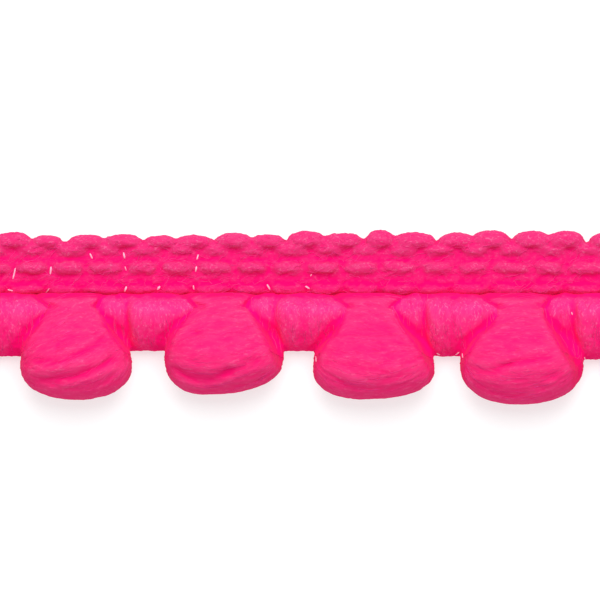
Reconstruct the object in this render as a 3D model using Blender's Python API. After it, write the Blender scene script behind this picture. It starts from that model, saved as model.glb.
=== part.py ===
"""Pompom fringe trim: a cut length with a crocheted heading, soft weft bars and six pompoms.

The trim lies flat. X runs along it, Y across it with the heading at +Y and the pompoms at -Y,
and Z is up from the surface it lies on. Lengths are in metres.
"""

import math
from collections import namedtuple

import bmesh
import bpy
from mathutils import Matrix, Vector

MM = 0.001

# Driving dimensions of the trim
POMPOM_COUNT = 6
PITCH = 8.86 * MM
COURSES_PER_PITCH = 4
COURSE = PITCH / COURSES_PER_PITCH
TRIM_LENGTH = POMPOM_COUNT * PITCH
GAP = 0.3 * MM

# Heading: its rows of stitches, from the edge next to the pompoms to the scalloped edge
StitchRow = namedtuple("StitchRow", "low high crest joint_depth")
EDGE_ROW = StitchRow(low=1.42 * MM, high=2.31 * MM, crest=1.45 * MM, joint_depth=0.35)
MIDDLE_ROW = StitchRow(low=2.31 * MM, high=3.53 * MM, crest=1.90 * MM, joint_depth=0.25)
NARROW_ROW = StitchRow(low=3.53 * MM, high=4.12 * MM, crest=1.50 * MM, joint_depth=0.35)
SCALLOP_ROW = StitchRow(low=4.12 * MM, high=5.14 * MM, crest=1.70 * MM, joint_depth=0.45)
STITCH_ROWS = (EDGE_ROW, MIDDLE_ROW, NARROW_ROW, SCALLOP_ROW)
GROOVE_HEIGHT = 0.95 * MM
SEGMENTS_PER_COURSE = 6
STEPS_ACROSS_ROW = 4
SEGMENT = COURSE / SEGMENTS_PER_COURSE
STITCH_JOINT_PHASE = 1 * SEGMENT
SCALLOP_NOTCH_PHASE = -2 * SEGMENT
DEEP_NOTCH = 0.62 * MM
SHALLOW_NOTCH = 0.38 * MM
SCALLOP_UNEVENNESS = 0.05 * MM
LAST_NOTCH = SCALLOP_NOTCH_PHASE + COURSE * math.floor((TRIM_LENGTH / 2 - SCALLOP_NOTCH_PHASE) / COURSE)
HEADING_END_DROP = 0.25

# Pompoms: soft bells that hang from a neck and swell below the bars
NECK_TOP = EDGE_ROW.low - GAP
NECK_HALF_WIDTH = 1.45 * MM
NECK_HALF_HEIGHT = 1.05 * MM
NECK_MIDDLE = 1.25 * MM
BELLY_HALF_HEIGHT = 2.50 * MM
BELLY_MIDDLE = 2.30 * MM
TIP_MIDDLE = 2.10 * MM
BOTTOM_ROUNDNESS = 2.2
WIDEST_AT = 0.56
BLUNT_SHARE = 0.10
POMPOM_AROUND = 32
POMPOM_ALONG = 18

Pompom = namedtuple("Pompom", "shift half_left half_right wide_y low_x low_y")
POMPOMS = (
    Pompom(0.00 * MM, 3.50 * MM, 3.45 * MM, -2.80 * MM, 0.30 * MM, -4.80 * MM),
    Pompom(0.00 * MM, 3.32 * MM, 3.32 * MM, -2.90 * MM, 0.12 * MM, -4.90 * MM),
    Pompom(-0.05 * MM, 3.56 * MM, 3.55 * MM, -2.43 * MM, -1.07 * MM, -4.60 * MM),
    Pompom(0.00 * MM, 3.63 * MM, 3.63 * MM, -3.14 * MM, -0.65 * MM, -4.87 * MM),
    Pompom(-0.05 * MM, 3.69 * MM, 3.69 * MM, -2.84 * MM, -0.18 * MM, -5.19 * MM),
    Pompom(0.00 * MM, 3.50 * MM, 3.60 * MM, -2.75 * MM, -0.40 * MM, -4.95 * MM),
)

# Creases pressed into a pompom's upper face: a point, the slope and the reach, as seen from above
Crease = namedtuple("Crease", "pompom x y slope reach depth")
CREASES = (
    Crease(0, -0.2 * MM, -2.6 * MM, 0.30, 2.0 * MM, 0.30 * MM),
    Crease(1, -0.4 * MM, -2.3 * MM, 0.36, 1.9 * MM, 0.30 * MM),
    Crease(1, 0.2 * MM, -3.3 * MM, 0.36, 1.8 * MM, 0.34 * MM),
    Crease(2, -0.6 * MM, -3.6 * MM, 0.12, 1.9 * MM, 0.34 * MM),
    Crease(2, 1.3 * MM, -3.0 * MM, 0.38, 1.2 * MM, 0.24 * MM),
    Crease(3, -0.7 * MM, -4.0 * MM, 0.08, 1.7 * MM, 0.24 * MM),
    Crease(4, 0.1 * MM, -2.5 * MM, 0.10, 1.7 * MM, 0.24 * MM),
    Crease(5, 0.3 * MM, -3.2 * MM, 0.25, 1.9 * MM, 0.30 * MM),
)
CREASE_WIDTH = 0.36 * MM

# Bars: the long weft loops between two pompoms, with a low fold at the left and two raised loops
BAR_TOP = EDGE_ROW.low - GAP
BAR_BOTTOM = -2.00 * MM
BAR_MIDDLE = 1.52 * MM
BAR_HALF_HEIGHT = 1.65 * MM
BAR_SQUARENESS = 2.6
BAR_FULLNESS = 3.6
BAR_CREASE_AT = 0.25 * MM
BAR_CREASE_DEPTH = 0.28 * MM
BAR_CREASE_WIDTH = 0.22 * MM
LOW_FOLD_EDGE = -1.15 * MM
LOW_FOLD_DROP = 0.60 * MM
LOW_FOLD_EASE = 0.35 * MM
BAR_AROUND = 20
BAR_ALONG = 10
NARROWEST_BAR_HALF = 0.72 * MM
END_INSET = 0.05 * MM

# Hot pink of the yarn as a linear colour, and its finish
YARN_PINK = (0.91, 0.02, 0.18, 1.0)
YARN_ROUGHNESS = 0.85


def clear_scene():
    """Remove the objects of the scene that Blender starts with."""
    for old in list(bpy.data.objects):
        bpy.data.objects.remove(old)


def yarn_material(name):
    """A soft matt yarn material."""
    material = bpy.data.materials.new(name)
    material.use_nodes = True
    shader = material.node_tree.nodes["Principled BSDF"]
    shader.inputs["Base Color"].default_value = YARN_PINK
    shader.inputs["Roughness"].default_value = YARN_ROUGHNESS
    shader.inputs["Metallic"].default_value = 0.0
    return material


def add_object(name, mesh_builder, material, collection):
    """Turn a finished bmesh into a smooth-shaded object in the trim's collection."""
    mesh = bpy.data.meshes.new(name)
    mesh_builder.to_mesh(mesh)
    mesh_builder.free()
    mesh.materials.append(material)
    mesh.shade_smooth()
    piece = bpy.data.objects.new(name, mesh)
    collection.objects.link(piece)
    return piece


def round_share(t):
    """Height of a round section at t, from -1 at one side to 1 at the other."""
    return math.sqrt(max(0.0, 1.0 - t * t))


def blend(low, high, share):
    """Mix two values."""
    return low + (high - low) * share


def groove(distance, width):
    """How deep a soft groove is at a distance from its line, from 0 to 1."""
    return math.exp(-((distance / width) ** 2))


def place_in_course(x, phase):
    """Which course x falls in, counted from phase, and its place there from -1 to 1."""
    courses = (x - phase) / COURSE
    index = math.floor(courses + 1e-6)
    return index, 2.0 * (courses - index) - 1.0


def scallop_edge(x):
    """Y of the heading's scalloped edge, where each second notch is deeper."""
    index, place = place_in_course(x, SCALLOP_NOTCH_PHASE)
    notch_index = index if place < 0 else index + 1
    depth = DEEP_NOTCH if notch_index % 2 == 0 else SHALLOW_NOTCH
    unevenness = SCALLOP_UNEVENNESS * math.sin(2.3 * index)
    return SCALLOP_ROW.high + unevenness - depth * (1.0 - round_share(place))


def heading_point(x, row_number, across):
    """A point of the heading's upper face: across runs from -1 to 1 over one row of stitches.

    The scallop that the right cut end would split is left out: past the last notch the edge
    stays as low as the notch.
    """
    row = STITCH_ROWS[row_number]
    high = row.high
    place = place_in_course(x, STITCH_JOINT_PHASE)[1]
    if row is SCALLOP_ROW:
        scallop_x = min(x, LAST_NOTCH)
        high = scallop_edge(scallop_x)
        place = place_in_course(scallop_x, SCALLOP_NOTCH_PHASE)[1]
    y = blend(row.low, high, (across + 1.0) / 2.0)
    bead = round_share(across) * (1.0 - row.joint_depth * place**6)
    z = blend(GROOVE_HEIGHT, row.crest, bead)
    end_distance = (TRIM_LENGTH / 2 - abs(x)) / SEGMENT
    z *= 1.0 - HEADING_END_DROP * max(0.0, 1.0 - end_distance)
    return Vector((x, y, z))


def build_heading(material, collection):
    """The crocheted band: a flat underside and rows of raised stitches under a scalloped edge."""
    columns = POMPOM_COUNT * COURSES_PER_PITCH * SEGMENTS_PER_COURSE
    rows = len(STITCH_ROWS) * STEPS_ACROSS_ROW
    shape = bmesh.new()
    bmesh.ops.create_grid(shape, x_segments=columns, y_segments=rows, size=0.5)
    for vertex in shape.verts:
        column = round((vertex.co.x + 0.5) * columns)
        line = round((vertex.co.y + 0.5) * rows)
        row_number = min(line // STEPS_ACROSS_ROW, len(STITCH_ROWS) - 1)
        step = line - row_number * STEPS_ACROSS_ROW
        across = -math.cos(math.pi * step / STEPS_ACROSS_ROW)
        x = -TRIM_LENGTH / 2 + column * SEGMENT
        vertex.co = heading_point(x, row_number, across)
    upper = list(shape.faces)
    lower = bmesh.ops.extrude_face_region(shape, geom=upper, use_keep_orig=True)["geom"]
    for item in lower:
        if isinstance(item, bmesh.types.BMVert):
            item.co.z = 0.0
    lower_faces = [item for item in lower if isinstance(item, bmesh.types.BMFace)]
    bmesh.ops.dissolve_faces(shape, faces=lower_faces, use_verts=False)
    bmesh.ops.recalc_face_normals(shape, faces=shape.faces)
    return add_object("heading", shape, material, collection)


def build_puff(name, section_at, around, along, squareness, lower, material, collection):
    """A soft closed form: a ball whose rings along Y are reshaped, with a flat spot underneath.

    section_at(t) gives, for t from 0 at the top to 1 at the bottom, the ring's y, left and right
    x, middle z and half height. lower(x, y) is how far creases lower the upper face there.
    """
    shape = bmesh.new()
    bmesh.ops.create_uvsphere(shape, u_segments=around, v_segments=along, radius=1.0)
    bmesh.ops.rotate(shape, cent=(0, 0, 0), matrix=Matrix.Rotation(-math.pi / 2, 3, "X"),
                     verts=shape.verts)
    for vertex in shape.verts:
        t = math.acos(max(-1.0, min(1.0, vertex.co.y))) / math.pi
        y, left, right, middle, half_height = section_at(t)
        ring_angle = math.atan2(vertex.co.z, vertex.co.x)
        side = math.cos(ring_angle)
        rise = math.sin(ring_angle)
        x_share = math.copysign(abs(side) ** (2.0 / squareness), side)
        z_share = math.copysign(abs(rise) ** (2.0 / squareness), rise)
        is_pole = t < 1e-4 or t > 1.0 - 1e-4
        if is_pole:
            x_share = 0.0
            z_share = 0.0
        x = blend(left, right, (x_share + 1.0) / 2.0)
        z = middle + half_height * z_share
        if z_share > 0.0:
            z -= lower(x, y) * z_share
        vertex.co = Vector((x, y, max(0.0, z)))
    return add_object(name, shape, material, collection)


def bell_half_width(y, half, wide_y):
    """Half width of a pompom above its widest place, swelling smoothly down from the neck."""
    share = (NECK_TOP - y) / (NECK_TOP - wide_y)
    return blend(NECK_HALF_WIDTH, half, math.sin(math.pi / 2 * share) ** 2)


def pompom_centre(number):
    """X of a pompom's centre; the row is centred on the origin."""
    return (number - (POMPOM_COUNT - 1) / 2) * PITCH + POMPOMS[number].shift


def pompom_section(number, t):
    """One ring of a pompom, t from 0 at the neck to 1 at the lowest point."""
    bell = POMPOMS[number]
    centre = pompom_centre(number)
    if t < WIDEST_AT:
        share = t / WIDEST_AT
        y = blend(NECK_TOP, bell.wide_y, share)
        left = bell_half_width(y, bell.half_left, bell.wide_y)
        right = bell_half_width(y, bell.half_right, bell.wide_y)
        blunt = math.sin(math.pi / 2 * min(1.0, share / BLUNT_SHARE))
        swell = math.sin(math.pi / 2 * share) ** 2
        half_height = blend(NECK_HALF_HEIGHT, BELLY_HALF_HEIGHT, swell) * blunt
        middle = blend(NECK_MIDDLE, BELLY_MIDDLE, swell)
        return y, centre - left * blunt, centre + right * blunt, middle, half_height
    turn = math.pi / 2 * (t - WIDEST_AT) / (1.0 - WIDEST_AT)
    drop = math.sin(turn) ** (2.0 / BOTTOM_ROUNDNESS)
    width = max(0.0, math.cos(turn)) ** (2.0 / BOTTOM_ROUNDNESS)
    y = blend(bell.wide_y, bell.low_y, drop)
    left = blend(bell.low_x, -bell.half_left, width)
    right = blend(bell.low_x, bell.half_right, width)
    middle = blend(BELLY_MIDDLE, TIP_MIDDLE, drop)
    return y, centre + left, centre + right, middle, BELLY_HALF_HEIGHT * width


def crease_drop(number, x, y):
    """How far the creases of one pompom lower its upper face at a point."""
    total = 0.0
    for crease in CREASES:
        if crease.pompom != number:
            continue
        along = x - pompom_centre(number) - crease.x
        off_line = y - crease.y - crease.slope * along
        total += crease.depth * groove(off_line, CREASE_WIDTH) * groove(along, crease.reach)
    return total


def build_pompom(number, material, collection):
    """One pompom: a bell of soft roving, creased where its bundle folds."""
    return build_puff(
        f"pompom_{number + 1}",
        lambda t: pompom_section(number, t),
        POMPOM_AROUND,
        POMPOM_ALONG,
        2.0,
        lambda x, y: crease_drop(number, x, y),
        material,
        collection,
    )


def side_of_pompom(number, y, side):
    """X where a pompom's outline passes at y; side is -1 for its left and 1 for its right."""
    bell = POMPOMS[number]
    half = bell.half_left if side < 0 else bell.half_right
    return pompom_centre(number) + side * bell_half_width(max(y, bell.wide_y), half, bell.wide_y)


def bar_section(number, t):
    """One ring of a bar, t from 0 at the heading to 1 at its lower edge.

    Bar 0 starts at the trim's left cut end and the last bar stops at its right cut end, so both
    are half as long as the others.
    """
    middle_x = number * PITCH - TRIM_LENGTH / 2
    up = math.cos(math.pi * t)
    full_up = math.copysign(abs(up) ** (2.0 / BAR_FULLNESS), up)
    y = blend(BAR_BOTTOM, BAR_TOP, (full_up + 1.0) / 2.0)
    ring = max(0.0, math.sin(math.pi * t)) ** (2.0 / BAR_FULLNESS)
    left = middle_x + END_INSET
    right = middle_x - END_INSET
    if number > 0:
        left = min(side_of_pompom(number - 1, y, 1) + GAP, middle_x - NARROWEST_BAR_HALF)
    if number < POMPOM_COUNT:
        right = max(side_of_pompom(number, y, -1) - GAP, middle_x + NARROWEST_BAR_HALF)
    centre = (left + right) / 2
    return (
        y,
        blend(centre, left, ring),
        blend(centre, right, ring),
        BAR_MIDDLE,
        BAR_HALF_HEIGHT * ring,
    )


def bar_drop(number, x):
    """How far a bar's upper face lies lower at x: the crease between its loops and the low fold."""
    off_middle = x - (number * PITCH - TRIM_LENGTH / 2)
    crease = BAR_CREASE_DEPTH * groove(off_middle - BAR_CREASE_AT, BAR_CREASE_WIDTH)
    fold_share = min(1.0, max(0.0, (LOW_FOLD_EDGE - off_middle) / LOW_FOLD_EASE))
    return crease + LOW_FOLD_DROP * fold_share


def build_bar(number, material, collection):
    """One weft bar: the long loops that lie between two pompoms under the heading."""
    return build_puff(
        f"weft_bar_{number + 1}",
        lambda t: bar_section(number, t),
        BAR_AROUND,
        BAR_ALONG,
        BAR_SQUARENESS,
        lambda x, y: bar_drop(number, x),
        material,
        collection,
    )


def main():
    clear_scene()
    collection = bpy.data.collections.new("pompom_fringe_trim")
    bpy.context.scene.collection.children.link(collection)
    build_heading(yarn_material("heading_yarn"), collection)
    bar_yarn = yarn_material("bar_yarn")
    for number in range(POMPOM_COUNT + 1):
        build_bar(number, bar_yarn, collection)
    pompom_yarn = yarn_material("pompom_yarn")
    for number in range(POMPOM_COUNT):
        build_pompom(number, pompom_yarn, collection)


main()
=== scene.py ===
"""Pompom fringe trim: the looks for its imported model, seen straight from above.

X runs along the trim, Y across it with the heading at +Y, and Z up from the surface it lies on.
Lengths are in metres. The few places that are read off the photograph are in its pixels, 600 by 600.
"""

import math
from collections import namedtuple

import bmesh
import bpy
from mathutils import Matrix, Vector


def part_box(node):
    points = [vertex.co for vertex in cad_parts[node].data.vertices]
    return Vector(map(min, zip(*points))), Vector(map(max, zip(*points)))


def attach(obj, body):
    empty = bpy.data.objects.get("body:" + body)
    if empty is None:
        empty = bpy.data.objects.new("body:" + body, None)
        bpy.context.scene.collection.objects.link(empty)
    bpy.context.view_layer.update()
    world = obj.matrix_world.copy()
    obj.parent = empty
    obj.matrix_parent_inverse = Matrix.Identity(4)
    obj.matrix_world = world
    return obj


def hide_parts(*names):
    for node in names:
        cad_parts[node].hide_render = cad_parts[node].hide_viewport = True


MM = 0.001

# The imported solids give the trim's driving sizes
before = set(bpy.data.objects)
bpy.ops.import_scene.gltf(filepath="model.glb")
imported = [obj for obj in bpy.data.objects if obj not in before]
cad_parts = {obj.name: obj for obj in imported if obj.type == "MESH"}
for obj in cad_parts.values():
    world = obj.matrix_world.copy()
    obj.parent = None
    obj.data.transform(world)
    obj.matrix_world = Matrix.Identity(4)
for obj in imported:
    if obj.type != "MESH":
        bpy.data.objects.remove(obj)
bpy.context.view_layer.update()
TRIM_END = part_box("heading")[1].x
POMPOM_COUNT = sum(name.startswith("pompom_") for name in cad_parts)
BAR_COUNT = POMPOM_COUNT + 1
PITCH = 2 * TRIM_END / POMPOM_COUNT

# The photograph: the trim is 10 mm wide over 168 pixels, and its own middle lies at this pixel
PHOTO_SIZE = 600
PHOTO_SCALE = 10 * MM / 168
PHOTO_ORIGIN_X = 299.5
PHOTO_ORIGIN_Y = 317.25
PHOTO_PERIOD = 4 * PITCH / PHOTO_SCALE

# Rows of chain stitches: across the trim, how high they stand, how far each leans down from the
# row above it, and where its joints are, in photo pixels over four pompoms
StitchRow = namedtuple("StitchRow", "name low high crest lean squareness joints steps seed")
STITCH_ROWS = (
    StitchRow(
        name="edge_chain", low=1.32 * MM, high=2.06 * MM, crest=1.60 * MM, lean=0.03, squareness=2.5,
        joints=(8, 46, 81, 124, 158, 193, 231, 268, 307, 344, 380, 416, 451, 490, 526, 566),
        steps=(20, 9, 5), seed=11),
    StitchRow(
        name="middle_chain", low=2.54 * MM, high=3.40 * MM, crest=1.76 * MM, lean=0.05, squareness=2.5,
        joints=(14, 50, 85, 125, 160, 196, 234, 269, 305, 342, 380, 418.6, 455.7, 490.7, 533, 565.7),
        steps=(20, 11, 6), seed=23),
    StitchRow(
        name="narrow_chain", low=3.62 * MM, high=4.46 * MM, crest=1.64 * MM, lean=0.04, squareness=2.3,
        joints=(12, 52, 91, 124, 166, 198, 235, 270, 313, 346, 385, 421, 458, 494, 532, 570),
        steps=(20, 7, 5), seed=37),
)
STITCH_SWING = 0.07
STITCH_LEAST = (0.98, 0.90, 0.88)
STITCH_MOST = (1.04, 1.10, 1.08)
HEADING_WAY = (1.0, 0.0, 0.0)

# The band of wefts under the stitches, seen between them
BAND_LOW = 1.40 * MM
BAND_HIGH = 4.40 * MM
BAND_MIDDLE = 0.70 * MM
BAND_HALF_HEIGHT = 0.64 * MM
BAND_OVERHANG = PITCH / 8
BAND_SQUARENESS = 4.0
BAND_AROUND = 32

# Scallops: sixteen loops over four pompoms, as left and right edge and peak in photo pixels, and
# how much each end draws in
Scallop = namedtuple("Scallop", "left right peak")
SCALLOPS = (
    Scallop(left=-7, right=33, peak=232),
    Scallop(left=31, right=63, peak=235),
    Scallop(left=67, right=106, peak=234.5),
    Scallop(left=103, right=143, peak=234),
    Scallop(left=143, right=178, peak=235),
    Scallop(left=174, right=214, peak=235),
    Scallop(left=214, right=254, peak=232.5),
    Scallop(left=250, right=286, peak=234),
    Scallop(left=286, right=328, peak=231),
    Scallop(left=322, right=364, peak=232.5),
    Scallop(left=364, right=397, peak=230),
    Scallop(left=392, right=437, peak=232),
    Scallop(left=437, right=476, peak=232.5),
    Scallop(left=470, right=512, peak=230),
    Scallop(left=512, right=552, peak=230.5),
    Scallop(left=546, right=586, peak=230.5),
)
SCALLOP_MIDDLE = 4.44 * MM
SCALLOP_FOOT = 4.10 * MM
SCALLOP_HALF_HEIGHT = 0.84 * MM
SCALLOP_MIDDLE_HEIGHT = 0.94 * MM
SCALLOP_ROUNDNESS = 2.3
SCALLOP_SQUARENESS = 2.2
SCALLOP_GAP = 0.8
SCALLOP_SHOWS = 0.8 * MM
SCALLOP_ALONG = 20
SCALLOP_AROUND = 20

# Pompoms: where each is widest, how its tip is shifted and its fibres slant, and how far its raised
# middle reaches to the left and right, in millimetres, at these places across the trim
SIDE_Y = (1.70, 1.00, 0.60, 0.10, -0.50, -1.10, -1.60, -2.05, -2.60, -3.10)
Bell = namedtuple("Bell", "wide_y low_shift slant left right")
BELLS = (
    Bell(wide_y=-2.80 * MM, low_shift=0.30 * MM, slant=0.10,
         left=(2.90, 2.10, 1.66, 1.90, 2.30, 2.70, 2.96, 3.20, 3.40, 3.50),
         right=(2.20, 1.40, 1.15, 1.30, 1.70, 2.10, 2.40, 2.70, 2.95, 3.30)),
    Bell(wide_y=-2.90 * MM, low_shift=0.00 * MM, slant=0.34,
         left=(2.90, 2.15, 1.62, 1.90, 2.27, 2.69, 2.96, 3.17, 3.40, 3.50),
         right=(1.90, 1.30, 1.12, 1.36, 1.71, 2.07, 2.50, 2.86, 3.20, 3.45)),
    Bell(wide_y=-2.43 * MM, low_shift=-1.07 * MM, slant=0.12,
         left=(3.00, 2.12, 1.80, 2.16, 2.70, 3.05, 3.26, 3.41, 3.50, 3.50),
         right=(2.30, 1.35, 1.17, 1.53, 1.95, 2.27, 2.51, 2.72, 2.95, 3.30)),
    Bell(wide_y=-3.14 * MM, low_shift=-0.65 * MM, slant=-0.02,
         left=(2.90, 2.05, 1.55, 1.75, 1.96, 2.32, 2.80, 3.10, 3.35, 3.50),
         right=(2.20, 1.43, 1.00, 1.13, 1.49, 1.96, 2.38, 2.68, 2.95, 3.30)),
    Bell(wide_y=-2.84 * MM, low_shift=-0.18 * MM, slant=0.06,
         left=(2.90, 2.10, 1.52, 1.50, 1.80, 2.50, 2.88, 3.10, 3.40, 3.50),
         right=(2.20, 1.55, 1.25, 1.13, 1.46, 1.79, 2.05, 2.32, 2.62, 2.95)),
    Bell(wide_y=-2.75 * MM, low_shift=-0.40 * MM, slant=0.20,
         left=(2.90, 2.10, 1.66, 1.90, 2.30, 2.70, 2.96, 3.20, 3.40, 3.50),
         right=(2.20, 1.40, 1.15, 1.30, 1.70, 2.10, 2.40, 2.70, 2.95, 3.30)),
)
FLANK_WIDTH = 0.45 * MM
FLANK_SINK = 0.45
NECK_TOP = 1.80 * MM
NECK_HALF_LEFT = 2.60 * MM
NECK_HALF_RIGHT = 2.10 * MM
NECK_HALF_HEIGHT = 1.10 * MM
NECK_MIDDLE = 0.86 * MM
NECK_ROUND_SHARE = 0.22
NECK_CORNER = 0.25
LEFT_SWELL = 1.5
SWELL = 2
BELLY_MIDDLE = 2.30 * MM
TIP_MIDDLE = 2.10 * MM
BOTTOM_ROUNDNESS = 2.2
WIDEST_AT = 0.56
BELLY_FULLNESS = 2.15
BUNDLE_ENTRY_Y = -1.20 * MM
BUNDLE_REACH = 4.10 * MM
BUNDLE_LEAST = 0.12
POMPOM_AROUND = 150
POMPOM_ALONG = 84

# Creases of a pompom's upper face: three points from left to right about its middle, all in
# millimetres; the first two are at the corners of every pompom's neck
EVERY_POMPOM = -1
Crease = namedtuple("Crease", "pompom left middle right depth width")
CREASES = (
    Crease(EVERY_POMPOM, (-2.70, 1.20), (-2.20, 1.00), (-1.60, 0.66), 0.50, 0.14),
    Crease(EVERY_POMPOM, (1.20, 0.70), (1.70, 1.00), (2.40, 1.25), 0.40, 0.16),
    Crease(0, (-2.20, -3.60), (0.10, -3.30), (1.90, -2.40), 0.20, 0.32),
    Crease(0, (-1.60, -2.20), (0.20, -1.90), (1.70, -1.10), 0.12, 0.26),
    Crease(1, (-2.15, -2.63), (-0.25, -2.37), (1.42, -1.41), 0.18, 0.20),
    Crease(1, (-2.39, -3.82), (-0.73, -3.65), (2.13, -2.57), 0.26, 0.28),
    Crease(1, (-3.20, -2.66), (-2.20, -2.30), (-0.90, -1.70), 0.14, 0.50),
    Crease(1, (-0.60, -4.30), (0.80, -4.05), (2.30, -3.60), 0.08, 0.22),
    Crease(2, (-2.93, -3.14), (-1.45, -3.68), (0.25, -3.30), 0.26, 0.32),
    Crease(2, (0.25, -3.20), (1.20, -2.85), (1.90, -2.50), 0.12, 0.20),
    Crease(2, (-1.45, -4.33), (0.93, -3.94), (2.24, -3.50), 0.12, 0.24),
    Crease(2, (-1.68, -0.82), (-1.10, -0.62), (-0.30, -0.46), 0.14, 0.24),
    Crease(2, (-3.35, -1.71), (-2.60, -1.45), (-1.90, -1.00), 0.12, 0.28),
    Crease(3, (-2.80, -3.62), (-0.12, -4.27), (2.14, -3.94), 0.16, 0.24),
    Crease(3, (-2.30, -0.94), (-0.70, -0.82), (0.83, -0.64), 0.15, 0.36),
    Crease(3, (0.30, -3.75), (1.00, -3.70), (1.80, -3.40), 0.10, 0.20),
    Crease(3, (-1.50, -3.00), (-0.60, -3.20), (0.20, -3.10), 0.08, 0.32),
    Crease(4, (-1.20, -2.88), (-0.24, -2.66), (1.37, -2.43), 0.16, 0.20),
    Crease(4, (-2.98, -3.02), (-1.60, -3.17), (-0.80, -2.84), 0.12, 0.24),
    Crease(4, (-2.50, -4.09), (-0.42, -4.54), (1.07, -4.15), 0.14, 0.28),
    Crease(4, (-0.12, -3.97), (0.90, -3.80), (1.80, -3.50), 0.10, 0.22),
    Crease(4, (-2.40, -0.70), (-1.80, -0.45), (-1.20, -0.15), 0.12, 0.26),
    Crease(5, (-2.10, -3.40), (0.00, -3.50), (2.20, -2.70), 0.20, 0.32),
    Crease(5, (-1.90, -2.30), (0.00, -2.20), (1.60, -1.40), 0.12, 0.26),
)
CREASE_LIP = 0.20
CREASE_LIP_AT = 1.9
CREASE_FADE = 0.45 * MM
CREASE_FAINTEST = 0.01

# Bars: the outline and crest of each loop about its bar's middle, in millimetres, at these places
# across the trim; the low fold's left and the last loop's right follow the pompoms and tuck in
# under them, and some bars reach lower than others
OUTLINE_Y = (1.70, 1.35, 1.00, 0.60, 0.20, -0.30, -0.80, -1.30, -1.70, -2.03)
Loop = namedtuple("Loop", "left right crest")
BAR_LOOPS = (
    Loop(left=None,
         right=(-0.90, -0.85, -0.80, -0.80, -0.80, -0.75, -0.70, -0.65, -0.60, -0.55),
         crest=(0.80, 1.30, 1.84, 2.12, 2.16, 2.00, 1.72, 1.45, 1.25, 1.05)),
    Loop(left=(-1.20, -1.36, -1.44, -1.46, -1.45, -1.40, -1.34, -1.28, -1.20, -1.08),
         right=(0.60, 0.70, 0.75, 0.80, 0.80, 0.75, 0.70, 0.60, 0.55, 0.50),
         crest=(0.90, 1.50, 2.30, 2.80, 2.90, 2.78, 2.50, 2.10, 1.70, 1.25)),
    Loop(left=(-0.20, -0.30, -0.40, -0.45, -0.45, -0.45, -0.42, -0.40, -0.35, -0.30),
         right=None,
         crest=(0.90, 1.50, 2.30, 2.82, 2.92, 2.78, 2.50, 2.10, 1.70, 1.25)),
)
LOOP_TUCK = 0.14
BAR_FEET = (1.00, 1.15, 1.00, 1.00, 1.15, 1.24, 1.05)
LOOP_AROUND = 40
LOOP_ALONG = 30
LOOP_SQUARENESS = 2.6
LOOP_CORNER = 0.30
LOOP_END = 0.40 * MM

# Below the bars' feet the walls between bars and pompoms run on in the open gap
GAP_Y = -2.75
GAP_HALF_WIDTH = 0.45
FOOT_PLACES = 8
NECK_CUT = 1.46 * MM

# Painted shade where a bar and a pompom press together: how much darker the yarn is coloured over these
# places beside the pompom's side, in millimetres, lower down and at the corners of its neck
PRESSED_PAINTED_SHADE = -0.90
PRESSED_INSIDE = (-0.25, 0.10)
PRESSED_OUTSIDE = (0.55, 1.10)
PRESSED_Y = (0.40, -0.60)
CORNER_Y = (0.50, 0.70)
CORNER_HALF_WIDTH = (0.10, 0.24)

# Painted light and shade: where the yarn is coloured lighter, as if lit, or deeper, as if in shade, across
# the trim; the change is complete past its end, in millimetres
Tone = namedtuple("Tone", "start end change")
HEADING_PAINTED_LIGHT = (
    Tone(start=4.20, end=4.80, change=0.20),
    Tone(start=3.40, end=3.80, change=0.15),
    Tone(start=2.30, end=1.90, change=-0.45),
)
BAR_PAINTED_SHADE = (Tone(start=1.00, end=1.40, change=-0.80), Tone(start=-0.60, end=-1.80, change=-0.20))
POMPOM_PAINTED_LIGHT = (
    Tone(start=0.95, end=1.35, change=-1.00),
    Tone(start=-1.50, end=0.30, change=0.38),
    Tone(start=-3.00, end=-4.50, change=0.20),
)

# How finely the softened forms are meshed, and how often they are smoothed
HEADING_MESH = 0.092 * MM
HEADING_PASSES = 6
FRINGE_MESH = 0.10 * MM
FRINGE_PASSES = 5
REMESH_SCALE = 1000.0

# Relief: strands and finer fibres, how far they stretch and wander, and over how many steps of the
# mesh a place is compared with its surroundings
HEADING_RELIEF = {
    "Strand Width": 0.42 * MM, "Strand Depth": 0.10 * MM, "Fibre Width": 0.22 * MM,
    "Fibre Depth": 0.055 * MM, "Stretch": 1.7, "Wander": 1.2, "Reach": 22}
FRINGE_RELIEF = {
    "Strand Width": 0.55 * MM, "Strand Depth": 0.08 * MM, "Fibre Width": 0.24 * MM,
    "Fibre Depth": 0.05 * MM, "Stretch": 3.5, "Wander": 0.6, "Reach": 50}

# Loose filaments: how many to a square metre, how level the yarn is where they grow, their sizes,
# how far they lift, curl and spread, and how finely each is made
STITCH_FUZZ = {
    "Density": 3.5e6, "Facing Up": 0.50, "Length": 0.8 * MM, "Radius": 0.018 * MM, "Lift": 0.022 * MM,
    "Curl": 0.12 * MM, "Curl Size": 0.30 * MM, "Spread": 0.9, "Points": 8, "Seed": 5}
BAR_FUZZ = {
    **STITCH_FUZZ, "Density": 6e6, "Facing Up": 0.60, "Curl": 0.05 * MM, "Spread": 0.30, "Points": 6,
    "Seed": 8}
POMPOM_FUZZ = {
    **BAR_FUZZ, "Density": 4e6, "Length": 1.1 * MM, "Radius": 0.014 * MM, "Lift": 0.018 * MM,
    "Curl": 0.06 * MM, "Points": 7, "Seed": 9}
FILAMENT_SIZES = (0.5, 1.5)
FILAMENT_THICKNESSES = (0.6, 1.4)
FILAMENT_CLEARANCE = 0.04 * MM
FILAMENT_SIDES = 3
CURL_REACH = 4.0
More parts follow.
